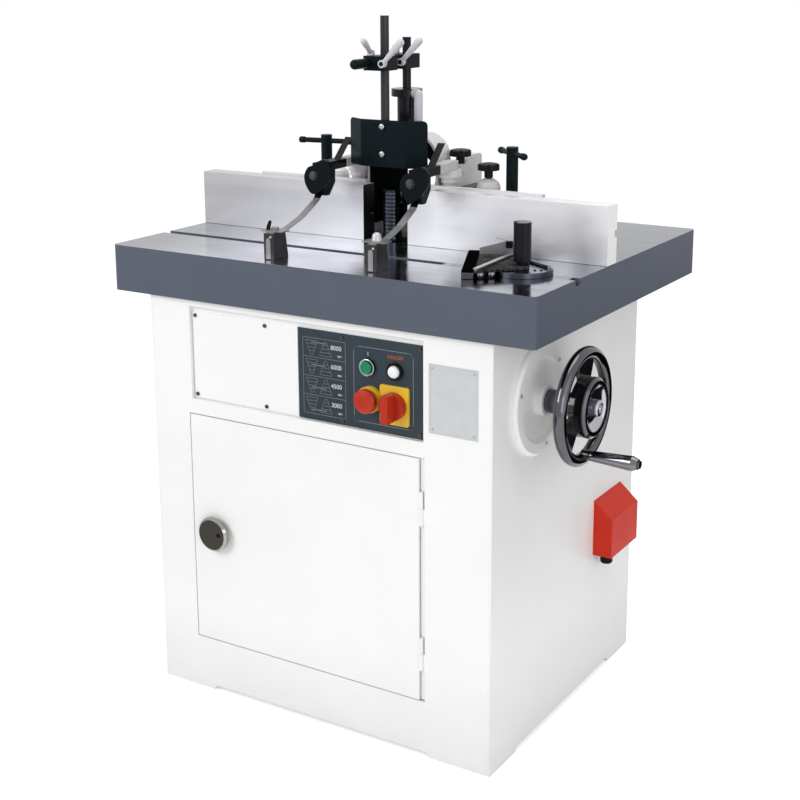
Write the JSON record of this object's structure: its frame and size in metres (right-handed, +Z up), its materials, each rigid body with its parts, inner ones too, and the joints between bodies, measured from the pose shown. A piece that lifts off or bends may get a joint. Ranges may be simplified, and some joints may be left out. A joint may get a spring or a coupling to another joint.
{
  "type": "spindle moulder",
  "caption": "Floor-standing spindle moulder with a cast table on a sheet cabinet, split fence with dust hood and guard, sprung hold-downs, handwheel lift and a mitre gauge.",
  "frame": {"origin": "centre of the floor bolt pattern, at floor level", "axes": "+X to the right along the fence as the user stands, +Y to the back, +Z up"},
  "size_m": [0.9823, 0.7113, 1.262],
  "materials": {
    "cabinet_white": "semi-gloss white powder coat",
    "panel_slate": "satin dark slate",
    "fastener_steel": "zinc plated",
    "table_iron": "ground and polished top, slate blue-grey paint on the edges",
    "supply_red": "gloss red",
    "black_plastic": "satin black",
    "lamp_white": "translucent white",
    "signal_yellow": "gloss yellow",
    "signal_red": "gloss red",
    "button_green": "gloss green",
    "machined_steel": "turned and ground",
    "cast_grey": "light grey paint over cast iron",
    "motor_grey": "grey paint",
    "fence_alloy": "brushed",
    "black_steel": "satin black",
    "bright_chrome": "polished",
    "belt_rubber": "matt black",
    "spring_steel": "polished strip"
  },
  "bodies": {
    "machine": {"cabinet_left_wall": "cabinet_white", "cabinet_right_wall": "cabinet_white", "cabinet_rear_wall": "cabinet_white", "cabinet_front_wall": "cabinet_white", "blank_panel": "cabinet_white", "control_panel": "panel_slate", "machine_fasteners": "fastener_steel", "machine_table": "table_iron", "table_ring": "table_iron", "handwheel_flange": "cabinet_white", "supply_box": "supply_red", "button_bezels": "black_plastic", "pilot_lamp": "lamp_white", "switch_plates": "signal_yellow", "spindle_slideway": "machined_steel"},
    "carriage": {"quill_housing": "cast_grey", "motor_body": "motor_grey", "drive_belt": "belt_rubber", "spindle_bearings": "machined_steel"},
    "spindle": {"spindle_shaft": "machined_steel", "spindle_pulley": "fence_alloy", "spindle_collars": "machined_steel"},
    "motor_rotor": {"motor_pulley": "fence_alloy"},
    "handwheel": {"handwheel": "bright_chrome", "handwheel_shaft": "machined_steel"},
    "crank": {"crank_grip": "bright_chrome"},
    "lead_screw": {"lead_screw": "machined_steel"},
    "door": {"door_panel": "cabinet_white"},
    "door_latch": {"door_knob": "bright_chrome"},
    "start_button": {"start_button": "button_green"},
    "estop_button": {"estop_button": "signal_red"},
    "switch_knob": {"switch_knob": "signal_red"},
    "fence": {"fence_body": "cast_grey", "dust_hood": "cast_grey", "guard_post": "black_steel"},
    "right_carrier": {"right_carrier": "cast_grey"},
    "left_plate": {"left_fence_plate": "fence_alloy"},
    "right_plate": {"right_fence_plate": "fence_alloy"},
    "left_clamp": {"left_clamp_handle": "black_steel"},
    "right_clamp": {"right_clamp_handle": "black_steel"},
    "lock_knob": {"fence_lock_knob": "black_plastic"},
    "adjust_knob": {"fence_adjust_knob": "black_plastic"},
    "rear_clamp": {"rear_clamp": "black_steel"},
    "guard_arm": {"guard_arm": "black_steel"},
    "guard": {"guard_rod": "black_steel", "guard_plate": "black_steel"},
    "rear_lever": {"rear_lever": "black_plastic"},
    "front_lever": {"front_lever": "black_plastic"},
    "arm_lever": {"arm_lever": "black_plastic"},
    "post_lever": {"post_lever": "bright_chrome"},
    "left_hold_down": {"left_hold_arm": "black_steel", "left_spring": "spring_steel", "left_shoe": "black_plastic"},
    "right_hold_down": {"right_hold_arm": "black_steel", "right_spring": "spring_steel", "right_shoe": "black_plastic"},
    "mitre_slide": {"mitre_bar": "machined_steel"},
    "mitre_head": {"mitre_fence": "black_steel", "mitre_stop": "spring_steel"},
    "mitre_handle": {"mitre_handle": "black_plastic"}
  },
  "joints": [
    {"name": "door_swing", "type": "hinge", "parent": "machine", "child": "door", "pos_m": [0.2225, -0.295, 0.326], "axis": [0, 0, 1], "range_deg": [0, 110]},
    {"name": "latch_turn", "type": "hinge", "parent": "door", "child": "door_latch", "pos_m": [-0.219, -0.295, 0.325], "axis": [0, -1, 0], "range_deg": [0, 90]},
    {"name": "handwheel_turn", "type": "hinge", "parent": "machine", "child": "handwheel", "pos_m": [0.443, -0.137, 0.632], "axis": [-1, 0, 0], "range_deg": [-2880, 2160]},
    {"name": "lead_screw_turn", "type": "hinge", "parent": "machine", "child": "lead_screw", "pos_m": [-0.012, -0.137, 0.6], "axis": [0, 0, -1], "range_deg": [-2890, 2890]},
    {"name": "carriage_lift", "type": "slide", "parent": "machine", "child": "carriage", "axis": [0, 0, 1], "range_m": [-0.0401, 0.0301]},
    {"name": "crank_spin", "type": "hinge", "parent": "handwheel", "child": "crank", "pos_m": [0.5, -0.137, 0.548], "axis": [1, 0, 0], "continuous": true},
    {"name": "spindle_spin", "type": "hinge", "parent": "carriage", "child": "spindle", "pos_m": [-0.012, -0.005, 0.7], "axis": [0, 0, 1], "continuous": true},
    {"name": "motor_spin", "type": "hinge", "parent": "carriage", "child": "motor_rotor", "pos_m": [-0.012, 0.165, 0.6], "axis": [0, 0, 1], "continuous": true},
    {"name": "start_press", "type": "slide", "parent": "machine", "child": "start_button", "axis": [0, 1, 0], "range_m": [0, 0.003], "stiffness_N_per_m": 600},
    {"name": "estop_press", "type": "slide", "parent": "machine", "child": "estop_button", "axis": [0, 1, 0], "range_m": [0, 0.005]},
    {"name": "switch_turn", "type": "hinge", "parent": "machine", "child": "switch_knob", "pos_m": [0.1695, -0.3, 0.631], "axis": [0, -1, 0], "range_deg": [0, 90]},
    {"name": "fence_shift", "type": "slide", "parent": "machine", "child": "fence", "axis": [0, 1, 0], "range_m": [-0.015, 0.04]},
    {"name": "left_plate_shift", "type": "slide", "parent": "fence", "child": "left_plate", "axis": [1, 0, 0], "range_m": [-0.04, 0.015]},
    {"name": "right_carrier_shift", "type": "slide", "parent": "fence", "child": "right_carrier", "axis": [0, 1, 0], "range_m": [-0.008, 0.008]},
    {"name": "right_plate_shift", "type": "slide", "parent": "right_carrier", "child": "right_plate", "axis": [1, 0, 0], "range_m": [-0.012, 0.04]},
    {"name": "left_clamp_turn", "type": "hinge", "parent": "machine", "child": "left_clamp", "pos_m": [-0.217, 0.08, 0.95], "axis": [0, 0, 1], "range_deg": [-180, 180]},
    {"name": "right_clamp_turn", "type": "hinge", "parent": "machine", "child": "right_clamp", "pos_m": [0.193, 0.08, 0.95], "axis": [0, 0, 1], "range_deg": [-180, 180]},
    {"name": "lock_knob_turn", "type": "hinge", "parent": "fence", "child": "lock_knob", "pos_m": [0.087, 0.076, 1], "axis": [0, 0, 1], "range_deg": [-180, 180]},
    {"name": "adjust_knob_turn", "type": "hinge", "parent": "fence", "child": "adjust_knob", "pos_m": [0.154, 0.062, 0.975], "axis": [0, 0, 1], "range_deg": [-180, 180]},
    {"name": "arm_lift", "type": "slide", "parent": "fence", "child": "rear_clamp", "axis": [0, 0, 1], "range_m": [-0.005, 0.025]},
    {"name": "arm_reach", "type": "slide", "parent": "rear_clamp", "child": "guard_arm", "axis": [0, 1, 0], "range_m": [-0.015, 0.006]},
    {"name": "guard_lift", "type": "slide", "parent": "guard_arm", "child": "guard", "axis": [0, 0, 1], "range_m": [-0.005, 0.06]},
    {"name": "rear_lever_turn", "type": "hinge", "parent": "rear_clamp", "child": "rear_lever", "pos_m": [0.001, 0.007, 1.178], "axis": [0, 1, 0], "range_deg": [-45, 45]},
    {"name": "front_lever_turn", "type": "hinge", "parent": "guard_arm", "child": "front_lever", "pos_m": [0.001, -0.057, 1.178], "axis": [0, 1, 0], "range_deg": [-45, 45]},
    {"name": "arm_lever_turn", "type": "hinge", "parent": "guard_arm", "child": "arm_lever", "pos_m": [-0.034, -0.04, 1.195], "axis": [0, 0, 1], "range_deg": [-60, 25]},
    {"name": "post_lever_turn", "type": "hinge", "parent": "fence", "child": "post_lever", "pos_m": [0.014, 0.033, 1.12], "axis": [0.866, -0.5, 0], "range_deg": [-45, 45]},
    {"name": "left_hold_swing", "type": "hinge", "parent": "fence", "child": "left_hold_down", "pos_m": [-0.112, 0.036, 0.99], "axis": [0, 0, 1], "range_deg": [-20, 1]},
    {"name": "right_hold_swing", "type": "hinge", "parent": "fence", "child": "right_hold_down", "pos_m": [0.088, 0.036, 0.99], "axis": [0, 0, 1], "range_deg": [-6, 1]},
    {"name": "mitre_travel", "type": "slide", "parent": "machine", "child": "mitre_slide", "axis": [1, 0, 0], "range_m": [-0.015, 0.075]},
    {"name": "mitre_swivel", "type": "hinge", "parent": "mitre_slide", "child": "mitre_head", "pos_m": [0.333, -0.152, 0.855], "axis": [0, 0, 1], "range_deg": [-5, 25]},
    {"name": "mitre_handle_turn", "type": "hinge", "parent": "mitre_slide", "child": "mitre_handle", "pos_m": [0.333, -0.152, 0.9], "axis": [0, 0, 1], "range_deg": [-180, 180]}
  ],
  "couplings": [
    {"joint": "lead_screw_turn", "follows": "handwheel_turn", "ratio": 1},
    {"joint": "carriage_lift", "follows": "handwheel_turn", "m_per_rad": 0.00079577},
    {"joint": "motor_spin", "follows": "spindle_spin", "ratio": 0.85714}
  ]
}
